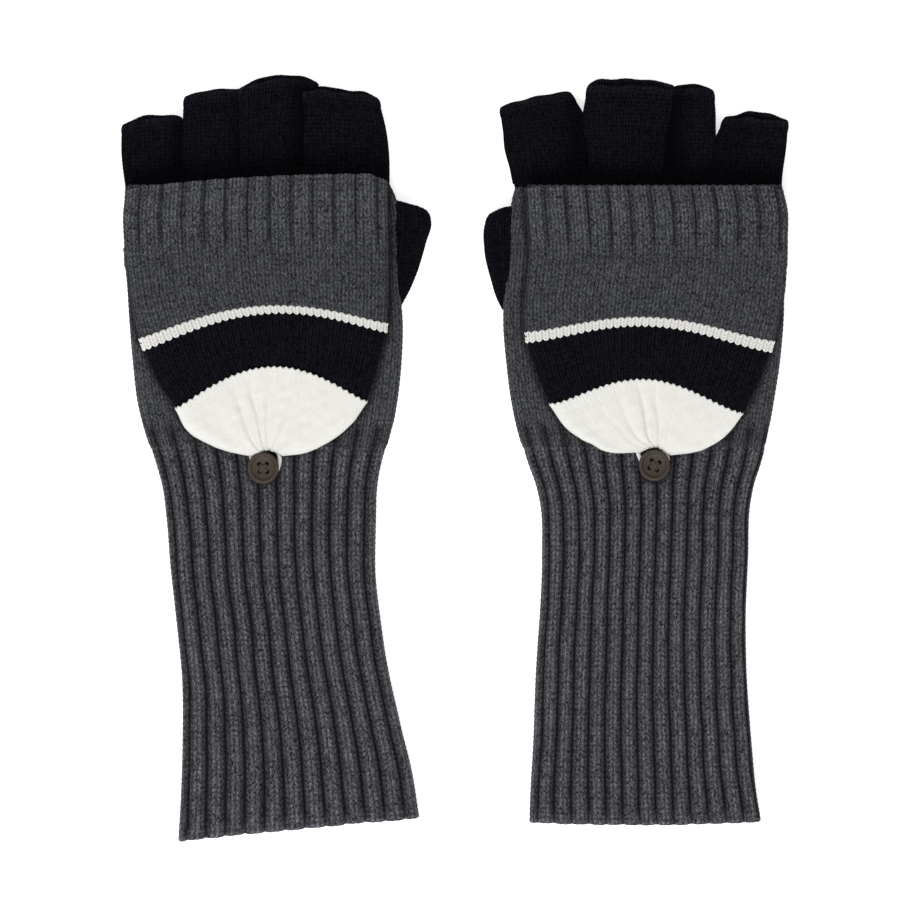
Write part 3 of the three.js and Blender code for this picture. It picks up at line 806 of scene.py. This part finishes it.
GREY = grey_material("grey_knit", 0.2, speckle=0.85, painted_shade_depth=0.75)
RIB = knit_material(
    "grey_rib", (0.0019, 0.0014, 0.0026), warm_grey(0.268),
    middle=0.42, heather=0.2, speckle=1.0, gap=0.7, bump=0.28, painted_shade_depth=0.97,
)
WELT = grey_material("grey_welt", 0.235, speckle=0.95, painted_shade_depth=0.85)
PANEL = grey_material("grey_panel", 0.175, speckle=0.9, painted_shade_depth=0.9)
BLACK = knit_material(
    "black_knit", (0.0004, 0.0004, 0.0009), (0.0182, 0.0172, 0.0255),
    middle=0.42, heather=0.22, speckle=0.75, gap=0.8, bump=0.25, sheen=0.0,
)
WHITE = knit_material(
    "white_knit", (0.24, 0.235, 0.225), (0.86, 0.85, 0.82),
    middle=1.0, heather=0.04, speckle=0.1, gap=0.52, bump=0.2, sheen=0.0,
)
WHITE_TIP = knit_material(
    "white_tip", (0.34, 0.33, 0.3), (0.81, 0.8, 0.765),
    middle=0.97, heather=0.03, speckle=0.12, gap=0.09, bump=0.05, sheen=0.0,
)
LOOP = yarn_material("white_yarn", (0.62, 0.61, 0.58), (0.93, 0.92, 0.89), 0.05)
SEAM = yarn_material("seam_yarn", light_grey(0.01), light_grey(0.12), 0.08)
THREAD = yarn_material("button_thread", (0.03, 0.025, 0.02), (0.135, 0.112, 0.092), 0.03, 0.7)
BUTTON = button_material()


def dress(glove, piece, material, node, body=None):
    """Gives a finished piece its material, hides the CAD node it stands in for, and attaches it to its body
    if one is given.
    """
    piece.data.materials.append(material)
    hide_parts(f"{glove['side']}_{node}")
    if body:
        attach(piece, f"{glove['side']}_{body}")
    return piece


def add_knit(glove, name, cloth, thickness, material, node, body=None):
    """Makes a dressed piece of a cloth: a tube, or a strip where the cloth is half a tube."""
    shell = tube_shell if cloth.closed else strip_shell
    piece = shell(f"{glove['side']}_{name}", cloth, thickness, glove["base"])
    return dress(glove, piece, material, node, body)


# ---- pieces

def rib_wave(wale, wales_per_rib, sharpness):
    """The round top of each rib, 0 in the hollows and 1 on the crest."""
    edge = np.abs(2 * ((wale / wales_per_rib) % 1) - 1)
    return (1 - edge**sharpness) ** 0.6


def rib_depth(cloth):
    """Ribs are shallower where the tube folds over at its sides."""
    return 1 - 0.6 * near(np.abs(2 * cloth.face - 1), 0.8)


def rib_shade(crest):
    """The painted shade in the hollows between the ribs."""
    return 1 - crest**2.8


def make_cuff(glove):
    """A long two-by-two rib, its hollows drawn in between the round ribs."""
    count, first = glove["ribs"] * RIB_WALES, glove["first_rib"]
    cloth = Cloth(glove["cuff"], FLOOR_CLEARANCE, CUFF_TOP, count, GREY_COURSE, edge=6.5, first=first)
    cloth.wave(0.35, 46, glove["seed"], cloth.face)
    cloth.lift(-0.8 * near(cloth.from_top, 6))
    cloth.fix_inside()
    wander = 0.12 * ripple(cloth.wale * 3, cloth.y(), 30, glove["seed"] + 1)
    crest = rib_wave(cloth.wale + wander * (1 - near(cloth.from_top, 30)), RIB_WALES, RIB_SHARPNESS)
    ribbed = (1 - 0.5 * near(cloth.from_top, 8)) * (1 - 0.45 * near(cloth.from_end, 5))
    cloth.lift(RIB_DEPTH * ribbed * rib_depth(cloth) * (crest - 1))
    # Painted shadow of the button in a ring just outside its rim, and painted shade between the ribs
    from_button = np.maximum(np.hypot(cloth.x(), cloth.y()) - BUTTON_REACH, 0)
    painted_shadow = 0.7 * near(from_button, 3.2) * (cloth.face > 0.5)
    cloth.painted_shading = np.maximum(rib_shade(crest) * ribbed, painted_shadow)
    cloth.lean(STITCH_CLIMB * (1 - 0.92 * near(cloth.from_end, 6)))
    cloth.stitch(GREY_RELIEF)
    hem = near(cloth.from_end, 4)
    cloth.points[..., 1] -= hem * (0.2 * crest + 0.3 * ripple(cloth.x(), cloth.y(), 14, glove["seed"] + 2))
    add_knit(glove, "rib_cuff", cloth, CUFF_THICK, RIB, "cuff", "hand_body")


def flap_outline(glove, y):
    """Where the flap's left and right folds are at these distances up the glove."""
    rows = [row for part in ("mouth", "panel", "band", "tip") for row in glove[part]]
    left = sorted((row[1], row[0]) for row in rows)
    right = sorted((row[3], row[2]) for row in rows)
    return np.interp(y, *zip(*left)), np.interp(y, *zip(*right))


def make_hand(glove):
    """The plain hand, raised at the knuckles for the closed flap, and ribbed where the cuff starts."""
    rows = glove["hand"]
    width = rows[5][2] - rows[5][0]
    low = [HAND_END_LOW, HAND_END_LOW, 3.0, 1.0] + [FLOOR_CLEARANCE] * (len(rows) - 4)
    cloth = Cloth(rows, low, HAND_TOP, round(width / GREY_WALE), GREY_COURSE, edge=7)
    cloth.wave(0.25, 34, glove["seed"] + 3, cloth.face)
    cloth.lift(-0.6 * near(cloth.from_end, 4))
    wale = cloth.wale / cloth.count * glove["ribs"] * RIB_WALES - glove["first_rib"]
    crest = rib_wave(wale, RIB_WALES, RIB_SHARPNESS)
    ribbed = near(np.maximum(cloth.from_end - 8, 0), 5)
    cloth.lift(0.8 * RIB_DEPTH * ribbed * rib_depth(cloth) * (crest - 1))
    cloth.fix_inside()
    # Painted shadow along the flap's outline on top of the hand, and painted shade between the ribs where
    # the cuff starts
    left, right = flap_outline(glove, cloth.y())
    outside = np.maximum(left - cloth.x(), cloth.x() - right)
    painted_shadow = 0.85 * near(np.abs(outside - 0.5), 2.6) * (cloth.face > 0.5)
    cloth.painted_shading = np.maximum(painted_shadow, rib_shade(crest) * ribbed)
    cloth.lean(STITCH_CLIMB * (1 - 0.8 * near(cloth.from_end, 3)))
    cloth.stitch(GREY_RELIEF)
    add_knit(glove, "knit_hand", cloth, GREY_THICK, GREY, "hand_body", "hand_body")


def draw_in_when_closed(glove, piece, middle, keep):
    """Attaches the piece to the hand body, with a mesh of its own."""
    side, base = glove["side"], glove["base"]
    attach(piece, f"{side}_hand_body")
    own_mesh(piece)


def make_knuckles(glove):
    """The black band that the four fingers start from."""
    low, high = FINGER_LOW + 0.3, FINGER_TOP - 0.5
    cloth = Cloth(glove["knuckles"], low, high, KNUCKLE_WALES, BLACK_COURSE, edge=4)
    cloth.fix_inside()
    cloth.stitch(BLACK_RELIEF)
    # Painted shade over the whole band, which lies under the flap's mouth
    cloth.painted_shading += 0.5
    piece = add_knit(glove, "knit_knuckles", cloth, BLACK_THICK, BLACK, "knuckle_band")
    draw_in_when_closed(glove, piece, *glove["knuckle_tuck_in"])


def hem_bulge(cloth):
    """The round of the double hem at a mouth."""
    return np.clip(1 - np.abs(cloth.from_top - 1.5) / 1.9, 0, 1) ** 0.5


def make_finger(glove, finger, number):
    """An open black tube with a soft double hem round its mouth."""
    shape = glove["fingers"][finger]
    rows = shape["rows"]
    width = rows[-1][2] - rows[-1][0]
    cloth = Cloth(rows, FINGER_LOW, FINGER_TOP, round(width / BLACK_WALE), BLACK_COURSE, edge=width * 0.46)
    seed = glove["seed"] + 10 + number
    share = np.clip((cloth.x() - rows[0][0]) / width, 0, 1)
    raised = near(cloth.from_end - 6, 24)
    raise_by = (shape["lift"] + shape["tilt"] * (0.5 - share) * 2) * (1 - raised * 0.35)
    cloth.points[..., 2] += np.where(raise_by < 0, raise_by * cloth.face, raise_by)
    mouth = near(cloth.from_top, 7)
    cloth.points[..., 1] += mouth * (1 - cloth.face) * shape["lip"]
    cloth.points[..., 2] -= mouth * cloth.face * 0.5
    cloth.wave(0.28, 17, seed)
    cloth.waver(0.55, 11, seed + 7)
    cloth.fix_inside()
    cloth.lift(0.38 * hem_bulge(cloth))
    cloth.stitch(BLACK_RELIEF * (1 - 0.6 * near(cloth.from_top, 3)))
    # Painted shade on the sides that a neighbouring finger lies over and near the foot under the flap's
    # mouth, and a painted highlight along the rolled hem at the open end
    dark_left, dark_right = shape["shade"]
    overlap_shade = dark_left * near(share, 0.45) + dark_right * near(1 - share, 0.35)
    cloth.painted_shading = np.maximum(overlap_shade, 0.45 * near(cloth.from_end - 1, 8)) - 0.8 * near(cloth.from_top, 3.4)
    piece = add_knit(glove, f"knit_{finger}", cloth, BLACK_THICK, BLACK, finger)
    draw_in_when_closed(glove, piece, *shape.get("tuck_in", glove["finger_tuck_in"]))


def make_thumb(glove):
    """An open black tube that bends at its foot, where it joins the hand."""
    rows = glove["thumb"]
    width = rows[1][2] - rows[1][0]
    low = [FLOOR_CLEARANCE] * 4 + [0.5, 1.2]
    high = [THUMB_TOP - 0.4, THUMB_TOP, THUMB_TOP, THUMB_TOP - 0.6, THUMB_TOP - 1.6, THUMB_TOP - 3]
    cloth = Cloth(rows, low, high, round(width / BLACK_WALE), BLACK_COURSE, edge=3.4)
    cloth.waver(0.45, 12, glove["seed"] + 20)
    cloth.wave(0.2, 15, glove["seed"] + 21)
    cloth.fix_inside()
    cloth.lift(0.35 * hem_bulge(cloth))
    cloth.stitch(BLACK_RELIEF)
    piece = add_knit(glove, "knit_thumb", cloth, BLACK_THICK, BLACK, "thumb")
    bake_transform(piece)


def side_shade(cloth):
    """The painted shadow on the flap's rounded sides, by its folds."""
    return 0.94 * near(cloth.face - 0.5, 0.38)


def make_welt(glove):
    """The ribbed mouth of the flap: broad soft ribs that fade into the plain panel."""
    cloth = Cloth(glove["mouth"], FLAP_LOW, FLAP_TOP, glove["flap_wales"], GREY_COURSE, half="upper")
    cloth.wave(0.3, 30, glove["seed"] + 30)
    cloth.points[..., 2] -= 0.5 * near(cloth.from_top, 4) * cloth.face
    cloth.press(0.9 * near(cloth.from_end, 5))
    cloth.fix_inside()
    first_groove, rib_wales = glove["welt"]
    crest = rib_wave(cloth.wale - first_groove, rib_wales, WELT_SHARPNESS)
    fade = 1 - near(cloth.from_end, 9)
    cloth.lift(WELT_DEPTH * (crest - 1) * fade)
    # Painted shade in the grooves, over the lower end of the welt, and on its rounded sides
    groove = np.clip(1.25 * (1 - crest), 0, 1) * fade
    cloth.painted_shading = np.maximum(np.maximum(groove, 0.3 * near(cloth.from_end, 16)), side_shade(cloth))
    cloth.lean(STITCH_CLIMB * (1 - 0.75 * near(cloth.from_top, 4)))
    cloth.stitch(GREY_RELIEF)
    share = cloth.wale / cloth.count
    left_drop, right_drop = glove["corners"]
    drop = left_drop * near(share, 0.1) + right_drop * near(1 - share, 0.1)
    cloth.points[..., 1] -= near(cloth.from_top, 12) * drop
    cloth.body[..., 1] -= near(cloth.from_top, 12) * drop
    add_knit(glove, "flap_welt", cloth, WELT_THICK, WELT, "flap_rib_band", "flap_body")


def flap_cloth(glove, part, high, course, **settings):
    """The cloth of one part of the flap, as wide as the whole flap."""
    return Cloth(glove[part], FLAP_LOW, high, glove["flap_wales"], course, bell=glove["bell"], **settings)


def make_panel(glove):
    """The plain grey palm side of the flap, which shows while the flap is folded back."""
    high = [FLAP_TOP - 0.2, FLAP_TOP - 0.4, FLAP_TOP - 0.8, STRIPE_TOP]
    cloth = flap_cloth(glove, "panel", high, GREY_COURSE, half="upper")
    edge_fade = 1 - near(cloth.from_top, 3) - near(cloth.from_end, 3)
    cloth.wave(0.35, 26, glove["seed"] + 33, edge_fade)
    cloth.press(0.7 * near(cloth.from_end, 2.5) + 0.9 * near(cloth.from_top, 5))
    cloth.fix_inside()
    # Painted shadow on the panel's rounded sides
    cloth.painted_shading = side_shade(cloth)
    cloth.lean()
    cloth.stitch(GREY_RELIEF)
    add_knit(glove, "flap_palm", cloth, GREY_THICK, PANEL, "flap_palm_panel", "flap_body")


def make_back(glove):
    """The back of the flap, which lies on the back of the hand while the flap is folded back."""
    high = [FLAP_LOW + 3.2, FLAP_TOP - 1, FLAP_TOP - 1, STRIPE_TOP]
    cloth = flap_cloth(glove, "back", high, GREY_COURSE, half="lower")
    cloth.fix_inside()
    cloth.lean()
    cloth.stitch(GREY_RELIEF * 0.7)
    add_knit(glove, "flap_back", cloth, GREY_THICK, GREY, "flap_back_panel", "flap_body")


def make_stripe(glove):
    """Two white courses all round the flap."""
    high = [STRIPE_TOP + 0.12, STRIPE_TOP - 0.3]
    cloth = flap_cloth(glove, "stripe", high, WHITE_COURSE, fine=10, under=8)
    cloth.fix_inside()
    cloth.lean()
    cloth.stitch(WHITE_RELIEF * 2)
    add_knit(glove, "flap_stripe", cloth, WHITE_THICK, WHITE, "flap_white_stripe", "flap_body")


def make_band(glove):
    """The black courses all round the flap."""
    high = [STRIPE_TOP - 0.5, STRIPE_TOP - 1.4, BAND_TOP]
    cloth = flap_cloth(glove, "band", high, WHITE_COURSE, edge=[6, 5, 4.4], under=6)
    cloth.wave(0.3, 24, glove["seed"] + 40, cloth.face * (1 - near(cloth.from_top, 4)))
    cloth.press(0.8 * near(cloth.from_end, 3) + 0.3 * near(cloth.from_top, 2))
    cloth.fix_inside()
    cloth.lean()
    cloth.stitch(BLACK_RELIEF)
    add_knit(glove, "flap_band", cloth, BLACK_THICK, BLACK, "flap_black_band", "flap_body")


def make_tip(glove):
    """The white end, its stitches drawn together at the loop in soft pleats."""
    count = glove["flap_wales"] - TIP_DECREASE
    high = [BAND_TOP + 0.25, BAND_TOP + 0.3, BAND_TOP - 0.2, BAND_TOP - 0.7, TIP_TOP]
    edge = [4.4, 4.2, 3.6, 3, 2.2]
    bell = glove["bell"]
    cloth = Cloth(glove["tip"], FLAP_LOW, high, count, WHITE_COURSE, edge, fine=8, under=6, bell=bell)
    drawn = np.clip(cloth.from_top / cloth.length, 0, 1)
    place = cloth.wale / count
    pleat = ripple(cloth.wale, cloth.wale * 0.3, 7, glove["seed"] + 50) * 0.55
    for centre, spread, deep in glove["pleats"]:
        bend = centre + 0.012 * np.sin(5.5 * drawn + 40 * centre)
        pleat = pleat - deep * np.exp(-(((place - bend) / spread) ** 2))
    grown = np.clip(drawn / 0.35, 0, 1) ** 0.8 * (1 - 0.35 * drawn)
    crumple = 0.16 * ripple(cloth.x(), cloth.y(), 5, glove["seed"] + 52)
    cloth.lift((pleat + crumple) * grown * np.clip(cloth.face * 1.4 - 0.3, 0, 1))
    cloth.fix_inside()
    cloth.lean()
    cloth.stitch(WHITE_RELIEF * (0.12 + 0.88 * near(cloth.from_top, 3)))
    add_knit(glove, "flap_tip", cloth, TIP_THICK, WHITE_TIP, "flap_white_tip", "flap_body")


def make_seam(glove):
    """The line of linking that joins the flap to the back of the hand."""
    side, base = glove["side"], glove["base"]
    low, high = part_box(f"{side}_flap_seam")
    middle, height = (low[1] + high[1]) / 2 - base[1], (low[2] + high[2]) / 2
    radius = (high[2] - low[2]) / 2 / MM
    steps = np.linspace(low[0] - base[0], high[0] - base[0], SEAM_STEPS) / MM
    wave = 0.22 * np.sin(np.arange(SEAM_STEPS) * math.pi * 2 / 3)
    path = np.column_stack([steps, middle / MM + wave, np.full(SEAM_STEPS, height / MM)])
    piece = yarn(f"{side}_linking", path, radius * 0.86, base, plies=2, lay=2.6)
    dress(glove, piece, SEAM, "flap_seam", "hand_body")


def make_loop(glove):
    """The yarn loop at the flap's tip, which goes round the button's shank."""
    side, base = glove["side"], glove["base"]
    low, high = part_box(f"{side}_button_loop")
    level = (low[2] + high[2]) / 2 / MM
    path = [(x, y, level + 0.25 * math.sin(i * 1.7)) for i, (x, y) in enumerate(glove["loop"])]
    piece = yarn(f"{side}_yarn_loop", path, 0.78, base, plies=3, lay=2.8, closed=True)
    dress(glove, piece, LOOP, "button_loop", "flap_body")


def lathe(name, profile, base, steps=96):
    """A solid turned from a closed profile of (radius, height) points, centred on the base point."""
    around = np.linspace(0, 2 * math.pi, steps, endpoint=False)
    rings = [(r * np.cos(around), r * np.sin(around), 0 * around + z) for r, z in profile[1:-1]]
    points = [(0, 0, profile[0][1])] + [p for ring in rings for p in zip(*ring)] + [(0, 0, profile[-1][1])]
    faces = []
    for i in range(len(rings) - 1):
        here, above = 1 + i * steps, 1 + (i + 1) * steps
        for j in range(steps):
            k = (j + 1) % steps
            faces.append((here + j, here + k, above + k, above + j))
    last = len(points) - 1
    for j in range(steps):
        k = (j + 1) % steps
        faces.append((0, 1 + k, 1 + j))
        faces.append((last, last - steps + j, last - steps + k))
    mesh = bpy.data.meshes.new(name)
    mesh.from_pydata((np.array(points) * MM + np.array(base)).tolist(), [], faces)
    return add_object(name, mesh)


def make_button(glove):
    """A turned button: a rounded rim, a dished middle and four holes turned a little off square.

    Returns the height of the dished middle, where its thread comes through."""
    side, base = glove["side"], glove["base"]
    low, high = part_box(f"{side}_button")
    radius, bottom, top = (high[0] - low[0]) / 2 / MM, low[2] / MM, high[2] / MM
    rim, dish = radius * 0.74, top - 0.75
    under = [(0, bottom), (radius * 0.55, bottom)]
    side_wall = [(radius * 0.8, bottom + 0.25), (radius * 0.95, bottom + 0.9)]
    half_rim, rim_height = (radius - rim) / 2, 0.72
    crest, foot = radius - half_rim, top - rim_height
    turn = np.linspace(-0.35, math.pi, 15)
    bulge = [(crest + half_rim * math.cos(a), foot + rim_height * math.sin(a)) for a in turn]
    slope = [(rim - 0.25, dish - 0.1), (rim - 0.6, dish - 0.22)]
    floor = [(radius * 0.45, dish - 0.34), (radius * 0.2, dish - 0.4), (0, dish - 0.42)]
    piece = lathe(f"{side}_turned_button", under + side_wall + bulge + slope + floor, base)
    narrow, wide = BUTTON_HOLE_RADIUS, BUTTON_HOLE_RADIUS * 1.3
    bore = [(0, bottom - 1), (narrow, bottom - 1), (narrow, dish - 0.62)]
    mouth = [(narrow * 1.06, dish - 0.5), (wide, dish - 0.3), (wide, top + 1), (0, top + 1)]
    cutters = []
    for i in range(4):
        angle = math.radians(glove["button_turn"] + 45 + 90 * i)
        across, along = BUTTON_HOLE_CIRCLE * math.cos(angle), BUTTON_HOLE_CIRCLE * math.sin(angle)
        place = (base[0] + across * MM, base[1] + along * MM, base[2])
        cutters.append(lathe(f"{side}_hole_{i}", bore + mouth, place, steps=32))
    for cutter in cutters:
        cut = piece.modifiers.new("hole", "BOOLEAN")
        cut.object = cutter
        cut.operation = "DIFFERENCE"
        cut.solver = "EXACT"
    graph = bpy.context.evaluated_depsgraph_get()
    done = bpy.data.meshes.new_from_object(piece.evaluated_get(graph))
    piece.modifiers.clear()
    piece.data = done
    for cutter in cutters:
        bpy.data.objects.remove(cutter)
    done.polygons.foreach_set("use_smooth", np.ones(len(done.polygons), bool))
    done.set_sharp_from_angle(angle=math.radians(38))
    dress(glove, piece, BUTTON, "button", "button_body")
    return dish - 0.4


def make_thread(glove, surface):
    """Sewing thread crossed through the four holes and down to the cuff."""
    side, base = glove["side"], glove["base"]
    low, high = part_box(f"{side}_button_thread")
    foot = low[2] / MM + 0.3
    crown = min(surface + 0.62, high[2] / MM - 0.25)
    reach = BUTTON_HOLE_CIRCLE
    strands = []
    for i in range(2):
        angle = math.radians(glove["button_turn"] + 45 + 90 * i)
        dx, dy = math.cos(angle), math.sin(angle)
        rise = crown - 0.22 + 0.22 * i
        climb = [(0.92, foot), (0.9, surface - 0.9), (0.8, surface - 0.1), (0.58, rise - 0.12), (0.3, rise)]
        stops = [(-t, z) for t, z in climb] + [(0, rise + 0.04)] + climb[::-1]
        for shift in (-0.17, 0.17):
            path = [(reach * t * dx - shift * dy, reach * t * dy + shift * dx, z) for t, z in stops]
            strands.append(yarn(f"{side}_thread_{i}", path, 0.2, base, 2, 0.9, sides=10, step=0.12))
    with bpy.context.temp_override(active_object=strands[0], selected_editable_objects=strands):
        bpy.ops.object.join()
    piece = strands[0]
    piece.name = f"{side}_thread_cross"
    dress(glove, piece, THREAD, "button_thread", "button_body")


def make_glove(shape):
    """All the pieces of one glove, set out round the middle of its button."""
    low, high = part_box(f"{shape['side']}_button")
    base = ((low[0] + high[0]) / 2, (low[1] + high[1]) / 2, 0)
    row = shape["panel"][1]
    glove = {**shape, "base": base, "flap_wales": round((row[2] - row[0]) / GREY_WALE)}
    make_cuff(glove)
    make_hand(glove)
    make_knuckles(glove)
    for number, finger in enumerate(glove["fingers"]):
        make_finger(glove, finger, number)
    make_thumb(glove)
    make_seam(glove)
    make_back(glove)
    make_panel(glove)
    make_welt(glove)
    make_stripe(glove)
    make_band(glove)
    make_tip(glove)
    make_loop(glove)
    surface = make_button(glove)
    make_thread(glove, surface)


make_glove(LEFT)
make_glove(RIGHT)


# ---- table, light and camera

def make_floor():
    """The white table."""
    mesh = bpy.data.meshes.new("table")
    mesh.from_pydata([(-4, -4, 0), (4, -4, 0), (4, 4, 0), (-4, 4, 0)], [], [(0, 1, 2, 3)])
    floor = add_object("table", mesh)
    s = Shader("table")
    s.put(s.surface, {"Base Color": (0.97, 0.97, 0.97, 1), "Roughness": 1.0, "Specular IOR Level": 0.0})
    s.put(s.surface, {"Emission Color": (1, 1, 1, 1), "Emission Strength": 0.6})
    mesh.materials.append(s.material)


def make_light(name, place, size, power):
    """A round lamp that points at the middle of the table."""
    data = bpy.data.lights.new(name, "AREA")
    data.shape = "DISK"
    data.size = size
    data.energy = power
    light = add_object(name, data)
    light.location = place
    light.rotation_euler = (-Vector(place)).to_track_quat("-Z", "Y").to_euler()


CAMERA_HEIGHT = 3.009
CAMERA_LENS = 320.8
PICTURE_MIDDLE = (0.0002, 0.0001)

make_floor()
make_light("key", (-0.15, -0.8, 1.0), 0.8, 10.5)
make_light("fill", (-0.6, 0.6, 1.1), 0.9, 2.0)

world = bpy.data.worlds.new("studio")
world.use_nodes = True
world.node_tree.nodes["Background"].inputs["Color"].default_value = (1, 1, 1, 1)
world.node_tree.nodes["Background"].inputs["Strength"].default_value = 0.55
scene = bpy.context.scene
scene.world = world
scene.view_settings.view_transform = "Standard"

camera_data = bpy.data.cameras.new("camera")
camera_data.lens = CAMERA_LENS
camera_data.sensor_width = 36
camera = add_object("camera", camera_data)
camera.location = (*PICTURE_MIDDLE, CAMERA_HEIGHT)
scene.camera = camera
